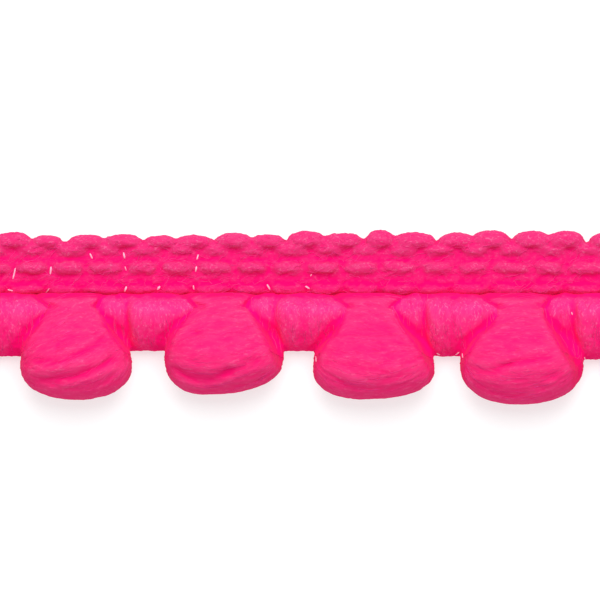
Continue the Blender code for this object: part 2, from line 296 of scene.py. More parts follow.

# Binding thread: where the clear thread catches the light, in photo pixels; it is drawn only there, and its
# pale colour is a painted glint
Glint = namedtuple("Glint", "column top bottom lean width")
GLINTS = (
    Glint(column=14, top=267, bottom=280, lean=-1.5, width=1.8),
    Glint(column=50.5, top=266, bottom=275, lean=-0.5, width=2.2),
    Glint(column=91, top=253, bottom=259, lean=1.5, width=1.8),
    Glint(column=124, top=252, bottom=259, lean=0.8, width=2.0),
    Glint(column=125.5, top=266, bottom=271, lean=0.8, width=1.0),
    Glint(column=197.5, top=254, bottom=260, lean=-0.8, width=1.6),
    Glint(column=196, top=266, bottom=272, lean=-0.5, width=2.0),
    Glint(column=10, top=289.5, bottom=291, lean=3.0, width=1.4),
    Glint(column=47.5, top=288, bottom=293, lean=-2.0, width=1.0),
    Glint(column=125.5, top=286, bottom=292, lean=-1.0, width=2.2),
    Glint(column=158.5, top=286, bottom=290, lean=-1.5, width=2.4),
    Glint(column=193.5, top=285, bottom=290, lean=0.3, width=1.4),
    Glint(column=268.5, top=284, bottom=290, lean=1.8, width=1.8),
    Glint(column=307.5, top=286, bottom=289, lean=2.5, width=2.0),
    Glint(column=311, top=274, bottom=276.5, lean=-0.8, width=1.0),
    Glint(column=572, top=312, bottom=315, lean=0.5, width=1.2),
    Glint(column=316, top=356, bottom=362, lean=0.3, width=1.4),
    Glint(column=438.5, top=353, bottom=355, lean=2.0, width=1.4),
    Glint(column=457.5, top=352, bottom=355, lean=-2.0, width=1.4),
    Glint(column=462.5, top=353, bottom=358, lean=0.3, width=1.4),
    Glint(column=585, top=357, bottom=360, lean=0.5, width=1.4),
)
THREAD_POINTS = 9
THREAD_SIDES = 8
THREAD_BLUNTNESS = 0.25
THREAD_SINK = 0.6
THREAD_END_GAP = 0.2 * MM
ABOVE_TRIM = 10 * MM

# Yarns: the colour painted as shade in its hollows, the colour painted as light on its raised fibres, and
# its pale flecks, partly fibre texture and partly painted glints, how its fibres lie, and over how far it
# must stand out to take the full painted light; a painted glow is added to it
Yarn = namedtuple("Yarn", "deep bright pale fibre_width stretch wander fleck_share relief low high sheen")
YARNS = {
    "heading_yarn": Yarn(deep=(0.62, 0.002, 0.118), bright=(0.53, 0.036, 0.150), pale=(0.60, 0.17, 0.32),
                         fibre_width=0.15 * MM, stretch=1.6, wander=1.4, fleck_share=0.55,
                         relief=0.040 * MM, low=-0.08 * MM, high=0.08 * MM, sheen=0.08),
    "bar_yarn": Yarn(deep=(0.74, 0.003, 0.145), bright=(0.68, 0.042, 0.200), pale=(0.74, 0.19, 0.38),
                     fibre_width=0.13 * MM, stretch=2.2, wander=0.9, fleck_share=0.55,
                     relief=0.025 * MM, low=-0.10 * MM, high=0.10 * MM, sheen=0.05),
    "pompom_yarn": Yarn(deep=(0.66, 0.003, 0.118), bright=(0.61, 0.038, 0.160), pale=(0.67, 0.14, 0.29),
                        fibre_width=0.13 * MM, stretch=3.0, wander=0.8, fleck_share=0.40,
                        relief=0.020 * MM, low=-0.07 * MM, high=0.13 * MM, sheen=0.08),
}
YARN_ROUGHNESS = 0.90
STRAND_SCALE = 0.4
STRAND_SHARE = 0.4
FIBRE_CONTRAST = 1.2
FLECK_SCALE = 0.9
FLECK_SHIFT = (0.013, 0.027, 0.041)
FLECK_LOW = 0.50
FLECK_HIGH = 0.76
TONE_SCALE = 1100.0
TONE_LEVEL = 0.4
# Painted glow: the yarn gives off a little red light of its own, which keeps its shaded hollows bright
YARN_PAINTED_GLOW = (0.13, 0.0, 0.010, 1.0)
SHEEN_ROUGHNESS = 0.50
SHEEN_TINT = (1.0, 0.60, 0.72, 1.0)

# Plain materials: two colours that mix softly
Plain = namedtuple("Plain", "scale first second roughness specular glow")
# The binding thread is coloured pale, as a painted glint of the clear thread
GLINT_PAINTED_THREAD = Plain(scale=5000.0, first=(0.86, 0.28, 0.45), second=(0.90, 0.45, 0.60), roughness=0.3,
                     specular=0.5, glow=0.0)
LOOSE_FILAMENT = Plain(scale=900.0, first=(0.75, 0.010, 0.165), second=(0.78, 0.07, 0.28), roughness=0.9,
                       specular=0.0, glow=0.0)
PALE_SURFACE = Plain(scale=40.0, first=(0.39, 0.41, 0.41), second=(0.41, 0.43, 0.43), roughness=0.9,
                     specular=0.0, glow=0.62)
FLOOR_HALF = 1.5
FLOOR_DROP = 0.03 * MM

# Soft light: an even daylight and a broad light from behind the heading
DAYLIGHT = 0.58
KEY_PLACE = (0.02, 0.36, 0.61)
KEY_SIZE = 0.55
KEY_POWER = 5.9

# Camera: straight above, far enough that the trim shows no perspective
CAMERA_HEIGHT = 0.9
CAMERA_SENSOR = 36.0
CAMERA_PLANE = 2.0 * MM
CAMERA_CLIP = 0.01


def from_photo(column, line):
    """The point of the surface at a pixel of the photograph."""
    return Vector(((column - PHOTO_ORIGIN_X) * PHOTO_SCALE, (PHOTO_ORIGIN_Y - line) * PHOTO_SCALE, 0))


def blend(low, high, share):
    """Mix two values."""
    return low + (high - low) * share


def round_off(place, roundness):
    """Height, from 0 to 1, of a superellipse at a place from -1 to 1."""
    return max(0.0, 1.0 - abs(place) ** roundness) ** (1.0 / roundness)


def read_off(y, places, values):
    """The value at y from a table whose places run downwards."""
    if y >= places[0]:
        return values[0]
    for number in range(1, len(places)):
        if y >= places[number]:
            share = (places[number - 1] - y) / (places[number - 1] - places[number])
            return blend(values[number - 1], values[number], share)
    return values[-1]


def smooth_step(start, end, place):
    """A soft step from 0 at the start to 1 at the end."""
    share = min(1.0, max(0.0, (place - start) / (end - start)))
    return share * share * (3.0 - 2.0 * share)


def painted_light(light_steps, y):
    """How much painted light or shade the yarn takes at y."""
    return sum(tone.change * smooth_step(tone.start, tone.end, y / MM) for tone in light_steps)


def ring_shares(step, around, squareness):
    """Where a step round a squarish ring lies, sideways and upwards from -1 to 1."""
    angle = 2 * math.pi * step / around
    side = math.cos(angle)
    rise = math.sin(angle)
    power = 2.0 / squareness
    return math.copysign(abs(side) ** power, side), math.copysign(abs(rise) ** power, rise)


# Meshes


def place_object(name, data):
    """A new object in the scene."""
    item = bpy.data.objects.new(name, data)
    bpy.context.scene.collection.objects.link(item)
    return item


def take_shape(*meshes):
    """An editable shape from meshes."""
    shape = bmesh.new()
    for mesh in meshes:
        shape.from_mesh(mesh)
    return shape


def give_shape(shape, mesh):
    """Put an edited shape into a mesh."""
    shape.to_mesh(mesh)
    shape.free()
    return mesh


def new_piece(name, points, faces):
    """A new object with a smooth mesh whose faces point outwards."""
    mesh = bpy.data.meshes.new(name)
    mesh.from_pydata(points, [], faces)
    shape = take_shape(mesh)
    bmesh.ops.recalc_face_normals(shape, faces=shape.faces)
    give_shape(shape, mesh).shade_smooth()
    return place_object(name, mesh)


def add_rings(points, faces, rings):
    """Add one closed form; its first and last ring are poles of one point each."""
    around = len(rings[1])
    starts = []
    for ring in rings:
        starts.append(len(points))
        points.extend(ring)
    for number in range(len(rings) - 1):
        for step in range(around):
            corners = []
            for on, turn in ((0, 0), (0, 1), (1, 1), (1, 0)):
                corner = starts[number + on] + (step + turn) % len(rings[number + on])
                if corner not in corners:
                    corners.append(corner)
            faces.append(corners)


def take_result(piece):
    """Keep what the piece's modifiers make of it as its plain mesh."""
    graph = bpy.context.evaluated_depsgraph_get()
    mesh = bpy.data.meshes.new_from_object(
        piece.evaluated_get(graph), preserve_all_data_layers=True, depsgraph=graph)
    mesh.name = piece.name
    piece.modifiers.clear()
    piece.data = mesh
    return piece


def join_pieces(name, pieces):
    """One piece from several, which are removed."""
    shape = take_shape(*[piece.data for piece in pieces])
    mesh = give_shape(shape, bpy.data.meshes.new(name))
    for piece in pieces:
        bpy.data.objects.remove(piece)
    return place_object(name, mesh)


def melt_together(piece, mesh_size):
    """One closed skin over forms that overlap, meshed evenly."""
    piece.data.transform(Matrix.Scale(REMESH_SCALE, 4))
    modifier = piece.modifiers.new("melt", "REMESH")
    modifier.mode = "VOXEL"
    modifier.voxel_size = mesh_size * REMESH_SCALE
    take_result(piece)
    piece.data.transform(Matrix.Scale(1.0 / REMESH_SCALE, 4))
    return piece


def cut_away(shape, place, outwards):
    """Cut off what lies beyond a plane and close the cut."""
    cut = bmesh.ops.bisect_plane(
        shape, geom=shape.verts[:] + shape.edges[:] + shape.faces[:],
        plane_co=place, plane_no=outwards, clear_outer=True)
    edges = [item for item in cut["geom_cut"] if isinstance(item, bmesh.types.BMEdge)]
    filled = bmesh.ops.holes_fill(shape, edges=edges)
    for face in filled["faces"]:
        face.smooth = False
    bmesh.ops.triangulate(shape, faces=filled["faces"])


def trim_ends(shape):
    """Cut a shape plainly at both ends of the trim."""
    for side in (-1, 1):
        cut_away(shape, (side * TRIM_END, 0, 0), (side, 0, 0))


def lay_grain(piece, rule):
    """Store each point's place in its yarn's grain, which way the fibres run and how much painted light or
    shade it takes.
    """
    grain = []
    ways = []
    lights = []
    for point in piece.data.vertices:
        place, way, light = rule(point.co)
        grain.extend(place)
        ways.extend(way)
        lights.append(light)
    for name, values in (("grain", grain), ("fibre_way", ways)):
        piece.data.attributes.new(name, "FLOAT_VECTOR", "POINT").data.foreach_set("vector", values)
    piece.data.attributes.new("painted_light", "FLOAT", "POINT").data.foreach_set("value", lights)


# Building node trees


def add_node(tree, kind, inputs=None, **settings):
    """Add a node; inputs maps a socket's name or number to a value, or to a socket to link."""
    node = tree.nodes.new(kind)
    for setting, value in settings.items():
        setattr(node, setting, value)
    for key, value in (inputs or {}).items():
        if isinstance(value, bpy.types.NodeSocket):
            tree.links.new(value, node.inputs[key])
        else:
            node.inputs[key].default_value = value
    return node


def set_values(node, values):
    """Set a node's own values by their sockets' names."""
    for name, value in values.items():
        node.inputs[name].default_value = value


def calculate(tree, operation, *values):
    """The result of a Math node on these values."""
    node = add_node(tree, "ShaderNodeMath", dict(enumerate(values)), operation=operation)
    return node.outputs[0]


def vector_math(tree, operation, *values):
    """The result of a Vector Math node; SCALE takes its number last."""
    inputs = dict(enumerate(values))
    if operation == "SCALE":
        inputs = {0: values[0], "Scale": values[1]}
    node = add_node(tree, "ShaderNodeVectorMath", inputs, operation=operation)
    return node.outputs["Value" if operation == "DOT_PRODUCT" else "Vector"]


def combine(tree, x, y, z):
    """A vector from three numbers."""
    return add_node(tree, "ShaderNodeCombineXYZ", {0: x, 1: y, 2: z}).outputs[0]


def noise(tree, vector, scale, detail=1.0, roughness=0.5, distortion=0.0):
    """A Noise Texture node over a vector."""
    inputs = {"Vector": vector, "Scale": scale, "Detail": detail, "Roughness": roughness,
              "Distortion": distortion}
    return add_node(tree, "ShaderNodeTexNoise", inputs, noise_dimensions="3D")


def random_number(tree, low, high, seed):
    """A random number for each point or instance."""
    inputs = {2: low, 3: high, "Seed": seed}
    return add_node(tree, "FunctionNodeRandomValue", inputs, data_type="FLOAT").outputs[1]


def read_attribute(tree, name, kind="FLOAT_VECTOR"):
    """An attribute of a piece's own."""
    return add_node(tree, "GeometryNodeInputNamedAttribute", {"Name": name}, data_type=kind).outputs[0]


def keep_number(tree, geometry, name, value, domain="POINT"):
    """The geometry with one more number stored in it."""
    return add_node(tree, "GeometryNodeStoreNamedAttribute", {
        "Geometry": geometry, "Name": name, "Value": value}, data_type="FLOAT", domain=domain).outputs[0]


def add_sockets(group, in_out, **labels):
    """Give a node group sockets, listed by name for each kind."""
    for kind, names in labels.items():
        for name in names.split(", "):
            group.interface.new_socket(name=name, in_out=in_out, socket_type="NodeSocket" + kind)


def new_geometry_tree(name, **inputs):
    """A Geometry Nodes tree with these inputs; gives the tree, its inputs and its result."""
    tree = bpy.data.node_groups.new(name, "GeometryNodeTree")
    add_sockets(tree, "INPUT", Geometry="Geometry", **inputs)
    add_sockets(tree, "OUTPUT", Geometry="Geometry")
    entry = tree.nodes.new("NodeGroupInput")
    result = tree.nodes.new("NodeGroupOutput")
    return tree, entry.outputs, result.inputs["Geometry"]


def grow(piece, tree, values):
    """Run a Geometry Nodes tree on a piece and keep the result as its plain mesh."""
    modifier = piece.modifiers.new(tree.name, "NODES")
    modifier.node_group = tree
    for socket in tree.interface.items_tree:
        if socket.in_out == "INPUT" and socket.name in values:
            modifier[socket.identifier] = values[socket.name]
    return take_result(piece)


def stitch_row_tree():
    """Geometry Nodes: a puffed stitch at each point of a row, each a little different."""
    tree, values, result = new_geometry_tree(
        "stitch_row", Int="Steps Along, Steps Across, Steps Up, Seed", Float="Squareness, Lean",
        Material="Material")
    cube = add_node(tree, "GeometryNodeMeshCube", {
        "Size": (2, 2, 2), "Vertices X": values["Steps Along"],
        "Vertices Y": values["Steps Across"], "Vertices Z": values["Steps Up"]})
    place = add_node(tree, "GeometryNodeInputPosition").outputs[0]
    total = 0.0
    for axis in add_node(tree, "ShaderNodeSeparateXYZ", {0: place}).outputs:
        power = calculate(tree, "POWER", calculate(tree, "ABSOLUTE", axis), values["Squareness"])
        total = calculate(tree, "ADD", total, power)
    norm = calculate(tree, "POWER", total, calculate(tree, "DIVIDE", -1.0, values["Squareness"]))
    puff = add_node(tree, "GeometryNodeSetPosition", {
        "Geometry": cube.outputs["Mesh"], "Position": vector_math(tree, "SCALE", place, norm)})
    swing = random_number(tree, -STITCH_SWING, STITCH_SWING, values["Seed"])
    turn = add_node(tree, "FunctionNodeEulerToRotation", {
        0: combine(tree, values["Lean"], 0.0, swing)}).outputs[0]
    unlike = add_node(tree, "FunctionNodeRandomValue", {
        0: STITCH_LEAST, 1: STITCH_MOST, "Seed": values["Seed"]},
        data_type="FLOAT_VECTOR").outputs[0]
    row = add_node(tree, "GeometryNodeInstanceOnPoints", {
        "Points": values["Geometry"], "Instance": puff.outputs["Geometry"], "Rotation": turn,
        "Scale": vector_math(tree, "MULTIPLY", read_attribute(tree, "half_size"), unlike)})
    real = add_node(tree, "GeometryNodeRealizeInstances", {"Geometry": row.outputs["Instances"]})
    finished = add_node(tree, "GeometryNodeSetMaterial", {
        "Geometry": real.outputs[0], "Material": values["Material"]})
    tree.links.new(finished.outputs[0], result)
    return tree


def blurred_place(tree, passes):
    """Each point's place, evened out with its neighbours' this many times."""
    place = add_node(tree, "GeometryNodeInputPosition").outputs[0]
    return place, add_node(tree, "GeometryNodeBlurAttribute", {
        0: place, 1: passes}, data_type="FLOAT_VECTOR").outputs[0]


def settle_yarn_tree():
    """Geometry Nodes: smooth melted forms into one soft skin."""
    tree, values, result = new_geometry_tree("settle_yarn", Int="Passes")
    _, smoothed = blurred_place(tree, values["Passes"])
    settled = add_node(tree, "GeometryNodeSetPosition", {
        "Geometry": values["Geometry"], "Position": smoothed})
    smooth = add_node(tree, "GeometryNodeSetShadeSmooth", {"Geometry": settled.outputs[0]})
    tree.links.new(smooth.outputs[0], result)
    return tree


def fibre_relief_tree():
    """Geometry Nodes: raise strands and finer fibres along the grain, and rest the piece at z 0.

    It also stores how far each point stands out from its surroundings, which the yarn's colour uses to
    paint shade into hollows and light onto raised parts.
    """
    tree, values, result = new_geometry_tree(
        "fibre_relief", Float="Strand Width, Strand Depth, Fibre Width, Fibre Depth, Stretch, Wander",
        Int="Reach")
    grain = read_attribute(tree, "grain")
    squeezed = vector_math(tree, "MULTIPLY", grain, combine(
        tree, calculate(tree, "DIVIDE", 1.0, values["Stretch"]), 1.0, 1.0))
    offset = (0.0, 0.0, 0.0)
    normal = add_node(tree, "GeometryNodeInputNormal").outputs[0]
    for size in ("Strand", "Fibre"):
        scale = calculate(tree, "DIVIDE", 1.0, values[size + " Width"])
        ripple = noise(tree, squeezed, scale, detail=1.5, distortion=values["Wander"]).outputs[0]
        centred = calculate(tree, "SUBTRACT", ripple, 0.5)
        depth = calculate(tree, "MULTIPLY", values[size + " Depth"], 2.0)
        rise = calculate(tree, "MULTIPLY", centred, depth)
        offset = vector_math(tree, "ADD", offset, vector_math(tree, "SCALE", normal, rise))
    raised = add_node(tree, "GeometryNodeSetPosition", {"Geometry": values["Geometry"], "Offset": offset})
    place = add_node(tree, "GeometryNodeInputPosition").outputs[0]
    rested = vector_math(tree, "MAXIMUM", place, (-1.0, -1.0, 0.0))
    flat = add_node(tree, "GeometryNodeSetPosition", {"Geometry": raised.outputs[0], "Position": rested})
    here, around = blurred_place(tree, values["Reach"])
    apart = vector_math(tree, "DOT_PRODUCT", vector_math(tree, "SUBTRACT", here, around), normal)
    measured = keep_number(tree, flat.outputs[0], "stands_out", apart)
    tree.links.new(measured, result)
    return tree


def loose_filament_tree():
    """Geometry Nodes: fine filaments that leave the yarn, curl and go back in."""
    tree, values, result = new_geometry_tree(
        "loose_filaments", Float="Density, Facing Up, Length, Radius, Lift, Curl, Curl Size, Spread",
        Int="Points, Seed", Material="Material")
    surface = values["Geometry"]
    place = add_node(tree, "GeometryNodeInputPosition").outputs[0]
    normal = add_node(tree, "GeometryNodeInputNormal").outputs[0]
    upwards = add_node(tree, "ShaderNodeSeparateXYZ", {0: normal}).outputs[2]
    scattered = add_node(tree, "GeometryNodeDistributePointsOnFaces", {
        "Mesh": surface, "Density": values["Density"], "Seed": values["Seed"],
        "Selection": calculate(tree, "GREATER_THAN", upwards, values["Facing Up"])},
        distribute_method="RANDOM")
    laid = add_node(tree, "FunctionNodeAlignRotationToVector", {
        "Rotation": scattered.outputs["Rotation"], "Vector": read_attribute(tree, "fibre_way")},
        axis="X", pivot_axis="Z").outputs[0]
    swing = random_number(tree, calculate(tree, "MULTIPLY", values["Spread"], -1.0),
                          values["Spread"], values["Seed"])
    turned = add_node(tree, "FunctionNodeRotateRotation", {
        "Rotation": laid,
        "Rotate By": add_node(tree, "FunctionNodeEulerToRotation", {
            0: combine(tree, 0.0, 0.0, swing)}).outputs[0]},
        rotation_space="LOCAL").outputs[0]
    half = calculate(tree, "MULTIPLY", values["Length"], 0.5)
    strand = add_node(tree, "GeometryNodeCurvePrimitiveLine", {
        "Start": combine(tree, calculate(tree, "MULTIPLY", half, -1.0), 0.0, 0.0),
        "End": combine(tree, half, 0.0, 0.0)}, mode="POINTS")
    divided = add_node(tree, "GeometryNodeResampleCurve", {
        "Curve": strand.outputs[0], "Count": values["Points"]}, mode="COUNT")
    size = random_number(tree, *FILAMENT_SIZES, values["Seed"])
    strands = add_node(tree, "GeometryNodeInstanceOnPoints", {
        "Points": scattered.outputs["Points"], "Instance": divided.outputs[0],
        "Rotation": turned, "Scale": combine(tree, size, size, size)})
    thickness = random_number(tree, *FILAMENT_THICKNESSES, calculate(tree, "ADD", values["Seed"], 1.0))
    sized = keep_number(tree, strands.outputs[0], "thickness", thickness, "INSTANCE")
    real = add_node(tree, "GeometryNodeRealizeInstances", {"Geometry": sized})
    curl_scale = calculate(tree, "DIVIDE", 1.0, values["Curl Size"])
    curl = vector_math(tree, "SUBTRACT", noise(tree, place, curl_scale).outputs["Color"], (0.5, 0.5, 0.5))
    curl_reach = calculate(tree, "MULTIPLY", values["Curl"], CURL_REACH)
    curled = add_node(tree, "GeometryNodeSetPosition", {
        "Geometry": real.outputs[0], "Offset": vector_math(tree, "SCALE", curl, curl_reach)})
    near = add_node(tree, "GeometryNodeProximity", {0: surface}, target_element="FACES").outputs[0]
    outwards = add_node(tree, "GeometryNodeSampleNearestSurface", {
        "Mesh": surface, "Value": normal}, data_type="FLOAT_VECTOR").outputs[0]
    share = add_node(tree, "GeometryNodeSplineParameter").outputs["Factor"]
    arch = calculate(tree, "SINE", calculate(tree, "MULTIPLY", share, math.pi))
    rise = calculate(tree, "MULTIPLY", calculate(tree, "SUBTRACT", arch, 0.5), values["Lift"])
    on_surface = vector_math(tree, "ADD", near, vector_math(tree, "SCALE", outwards, rise))
    above_floor = vector_math(tree, "MAXIMUM", on_surface, (-1.0, -1.0, FILAMENT_CLEARANCE))
    hugging = add_node(tree, "GeometryNodeSetPosition", {
        "Geometry": curled.outputs[0], "Position": above_floor})
    profile = add_node(tree, "GeometryNodeCurvePrimitiveCircle", {
        "Resolution": FILAMENT_SIDES, "Radius": values["Radius"]}, mode="RADIUS")
    tubes = add_node(tree, "GeometryNodeCurveToMesh", {
        "Curve": hugging.outputs[0], "Profile Curve": profile.outputs[0],
        "Scale": read_attribute(tree, "thickness", "FLOAT"), "Fill Caps": True})
    smooth = add_node(tree, "GeometryNodeSetShadeSmooth", {"Geometry": tubes.outputs[0]})
    finished = add_node(tree, "GeometryNodeSetMaterial", {
        "Geometry": smooth.outputs[0], "Material": values["Material"]})
    tree.links.new(finished.outputs[0], result)
    return tree


# Materials


def yarn_fibres_group():
    """Shader group: fibres along the grain, as a height, pale flecks and a slow change of tone."""
    group = bpy.data.node_groups.new("yarn_fibres", "ShaderNodeTree")
    add_sockets(group, "INPUT", Vector="Grain", Float="Fibre Width, Stretch, Wander")
    add_sockets(group, "OUTPUT", Float="Height, Fleck, Tone")
    values = group.nodes.new("NodeGroupInput").outputs
    result = group.nodes.new("NodeGroupOutput").inputs
    squeezed = vector_math(group, "MULTIPLY", values["Grain"], combine(
        group, calculate(group, "DIVIDE", 1.0, values["Stretch"]), 1.0, 1.0))
    fine_scale = calculate(group, "DIVIDE", 1.0, values["Fibre Width"])
    fine = noise(group, squeezed, fine_scale, 2.0, 0.6, values["Wander"]).outputs[0]
    strand_scale = calculate(group, "MULTIPLY", fine_scale, STRAND_SCALE)
    strand = noise(group, squeezed, strand_scale, 1.0, 0.5, values["Wander"]).outputs[0]
    height = calculate(group, "ADD", calculate(group, "MULTIPLY", fine, 1.0 - STRAND_SHARE),
                       calculate(group, "MULTIPLY", strand, STRAND_SHARE))
    group.links.new(height, result["Height"])
    shifted = vector_math(group, "ADD", squeezed, FLECK_SHIFT)
    fleck_scale = calculate(group, "MULTIPLY", fine_scale, FLECK_SCALE)
    glint = noise(group, shifted, fleck_scale, 2.0, 0.7, values["Wander"]).outputs[0]
    fleck = add_node(group, "ShaderNodeMapRange", {
        "Value": glint, "From Min": FLECK_LOW, "From Max": FLECK_HIGH}, interpolation_type="SMOOTHSTEP")
    group.links.new(fleck.outputs[0], result["Fleck"])
    tone = noise(group, values["Grain"], TONE_SCALE, 2.0, 0.6).outputs[0]
    group.links.new(tone, result["Tone"])
    return group


def opaque(colour):
    """A colour with its alpha."""
    return (*colour, 1.0)


def mix_colours(tree, share, first, second):
    """A mix of two colours."""
    return add_node(tree, "ShaderNodeMix", {0: share, 6: first, 7: second}, data_type="RGBA").outputs[2]


def yarn_material(name, yarn, fibres):
    """Soft bulked yarn: fine fibres along the grain, with painted shade in its hollows, painted light on
    its raised parts and pale flecks painted where they catch the light.
    """
    material = bpy.data.materials.new(name)
    material.use_nodes = True
    tree = material.node_tree
    shader = tree.nodes["Principled BSDF"]
    grain = add_node(tree, "ShaderNodeAttribute", attribute_name="grain").outputs["Vector"]
    group = add_node(tree, "ShaderNodeGroup", node_tree=fibres)
    tree.links.new(grain, group.inputs["Grain"])
    set_values(group, {"Fibre Width": yarn.fibre_width, "Stretch": yarn.stretch, "Wander": yarn.wander})
    # Painted shade and light: how far a place stands out, plus the painted light across the trim, sets how
    # much of the lit colour it takes, while random fibre height and tone vary it too; hollows keep the
    # shaded colour
    apart = add_node(tree, "ShaderNodeAttribute", attribute_name="stands_out").outputs["Fac"]
    raised = add_node(tree, "ShaderNodeMapRange", {
        "Value": apart, "From Min": yarn.low, "From Max": yarn.high}, interpolation_type="SMOOTHSTEP")
    lighter = add_node(tree, "ShaderNodeAttribute", attribute_name="painted_light").outputs["Fac"]
    lit_share = add_node(tree, "ShaderNodeClamp", {
        0: calculate(tree, "ADD", raised.outputs[0], lighter)})
    fibres_up = calculate(tree, "ADD", calculate(tree, "MULTIPLY", group.outputs["Height"], FIBRE_CONTRAST),
                          calculate(tree, "SUBTRACT", group.outputs["Tone"], TONE_LEVEL))
    bright_share = calculate(tree, "MULTIPLY", lit_share.outputs[0], fibres_up)
    bright_kept = add_node(tree, "ShaderNodeClamp", {0: bright_share}).outputs[0]
    base = mix_colours(tree, bright_kept, opaque(yarn.deep), opaque(yarn.bright))
    # Pale flecks are fibre texture shown only where the yarn takes painted light, as painted glints
    fleck_share = calculate(tree, "MULTIPLY", group.outputs["Fleck"], yarn.fleck_share)
    fleck_kept = calculate(tree, "MULTIPLY", fleck_share, lit_share.outputs[0])
    flecked = mix_colours(tree, fleck_kept, base, opaque(yarn.pale))
    tree.links.new(flecked, shader.inputs["Base Color"])
    bump = add_node(tree, "ShaderNodeBump", {
        "Strength": 1.0, "Distance": yarn.relief, "Height": group.outputs["Height"]})
    tree.links.new(bump.outputs[0], shader.inputs["Normal"])
    set_values(shader, {
        "Roughness": YARN_ROUGHNESS, "Specular IOR Level": 0.0, "Sheen Weight": yarn.sheen,
        "Sheen Roughness": SHEEN_ROUGHNESS, "Sheen Tint": SHEEN_TINT, "Emission Color": YARN_PAINTED_GLOW,
        "Emission Strength": 1.0})
    return material


def plain_material(name, plain):
    """A material of one colour that varies softly and may glow a little."""
    material = bpy.data.materials.new(name)
    material.use_nodes = True
    tree = material.node_tree
    shader = tree.nodes["Principled BSDF"]
    place = add_node(tree, "ShaderNodeTexCoord").outputs["Object"]
    patch = noise(tree, place, plain.scale, 2.0).outputs[0]
    colour = mix_colours(tree, patch, opaque(plain.first), opaque(plain.second))
    tree.links.new(colour, shader.inputs["Base Color"])
    set_values(shader, {
        "Roughness": plain.roughness, "Specular IOR Level": plain.specular,
        "Emission Color": (1.0, 1.0, 1.0, 1.0), "Emission Strength": plain.glow})
    return material


# Heading


def photo_repeats(columns):
    """The repeats of a photo pixel pattern that reach past both ends of the trim."""
    for repeat in (-1, 0, 1):
        for column in columns:
            yield column + repeat * PHOTO_PERIOD


def build_stitch_row(row, tree, material):
    """One row of chain stitches along the heading, from joint to joint."""
    joints = [from_photo(column, 0).x for column in photo_repeats(row.joints)]
    across = (row.high - row.low) / 2
    points = []
    sizes = []
    for left, right in zip(joints, joints[1:]):
        if right > -TRIM_END and left < TRIM_END:
            points.append(((left + right) / 2, (row.low + row.high) / 2, row.crest / 2))
            sizes.extend(((right - left) / 2, across, row.crest / 2))
    piece = new_piece(row.name, points, [])
    piece.data.attributes.new("half_size", "FLOAT_VECTOR", "POINT").data.foreach_set("vector", sizes)
    along, aside, up = row.steps
    return grow(piece, tree, {
        "Steps Along": along, "Steps Across": aside, "Steps Up": up, "Squareness": row.squareness,
        "Lean": row.lean, "Seed": row.seed, "Material": material})


def build_weft_band():
    """The band of wefts under the stitches."""
    middle_y = (BAND_LOW + BAND_HIGH) / 2
    half_y = (BAND_HIGH - BAND_LOW) / 2
    end = TRIM_END + BAND_OVERHANG
    rings = [[Vector((-end, middle_y, BAND_MIDDLE))]]
    for x in (-end, end):
        ring = []
        for step in range(BAND_AROUND):
            side, rise = ring_shares(step, BAND_AROUND, BAND_SQUARENESS)
            ring.append(Vector((x, middle_y + half_y * side, BAND_MIDDLE + BAND_HALF_HEIGHT * rise)))
        rings.append(ring)
    rings.append([Vector((end, middle_y, BAND_MIDDLE))])
    points = []
    faces = []
    add_rings(points, faces, rings)
    return new_piece("weft_band", points, faces)


def build_scallops():
    """The weft loops that turn at the heading's upper edge, two between deep notches."""
    points = []
    faces = []
    for repeat in (-1, 0, 1):
        for scallop in SCALLOPS:
            left = from_photo(scallop.left + SCALLOP_GAP + repeat * PHOTO_PERIOD, scallop.peak)
            right = from_photo(scallop.right - SCALLOP_GAP + repeat * PHOTO_PERIOD, scallop.peak)
            if right.x < -TRIM_END or left.x > TRIM_END - SCALLOP_SHOWS:
                continue
            rings = []
            for ring in range(SCALLOP_ALONG + 1):
                place = -math.cos(math.pi * ring / SCALLOP_ALONG)
                fullness = round_off(place, SCALLOP_ROUNDNESS)
                x = blend(left.x, right.x, (place + 1.0) / 2.0)
                if ring in (0, SCALLOP_ALONG):
                    rings.append([Vector((x, SCALLOP_MIDDLE, SCALLOP_MIDDLE_HEIGHT))])
                    continue
                section = []
                for step in range(SCALLOP_AROUND):
                    side, rise = ring_shares(step, SCALLOP_AROUND, SCALLOP_SQUARENESS)
                    reach = left.y - SCALLOP_MIDDLE if side > 0 else SCALLOP_MIDDLE - SCALLOP_FOOT
                    y = SCALLOP_MIDDLE + reach * side * fullness
                    z = SCALLOP_MIDDLE_HEIGHT + SCALLOP_HALF_HEIGHT * rise * fullness
                    section.append(Vector((x, y, z)))
                rings.append(section)
            add_rings(points, faces, rings)
    return new_piece("scallop_loops", points, faces)


def build_heading(stitches, settle, relief, material):
    """The whole crocheted band: rows of stitches and scallops melted into one soft skin."""
    forms = [build_stitch_row(row, stitches, material) for row in STITCH_ROWS]
    forms.append(build_scallops())
    forms.append(build_weft_band())
    heading = melt_together(join_pieces("crocheted_heading", forms), HEADING_MESH)
    grow(heading, settle, {"Passes": HEADING_PASSES})
    lay_grain(heading, lambda place: (place, HEADING_WAY, painted_light(HEADING_PAINTED_LIGHT, place.y)))
    grow(heading, relief, HEADING_RELIEF)
    shape = take_shape(heading.data)
    trim_ends(shape)
    give_shape(shape, heading.data)
    heading.data.materials.clear()
    heading.data.materials.append(material)
    return heading


# Bars


def bar_middle(number):
    """Where a bar's middle lies along the trim."""
    return number * PITCH - TRIM_END


def pompom_middle(number):
    """Where the middle between a pompom's two bars lies along the trim."""
    return bar_middle(number) + PITCH / 2


def reaches(number, side):
    """How far a pompom's raised middle reaches, in millimetres, to its left or right, side -1 or 1."""
    return BELLS[number].left if side < 0 else BELLS[number].right


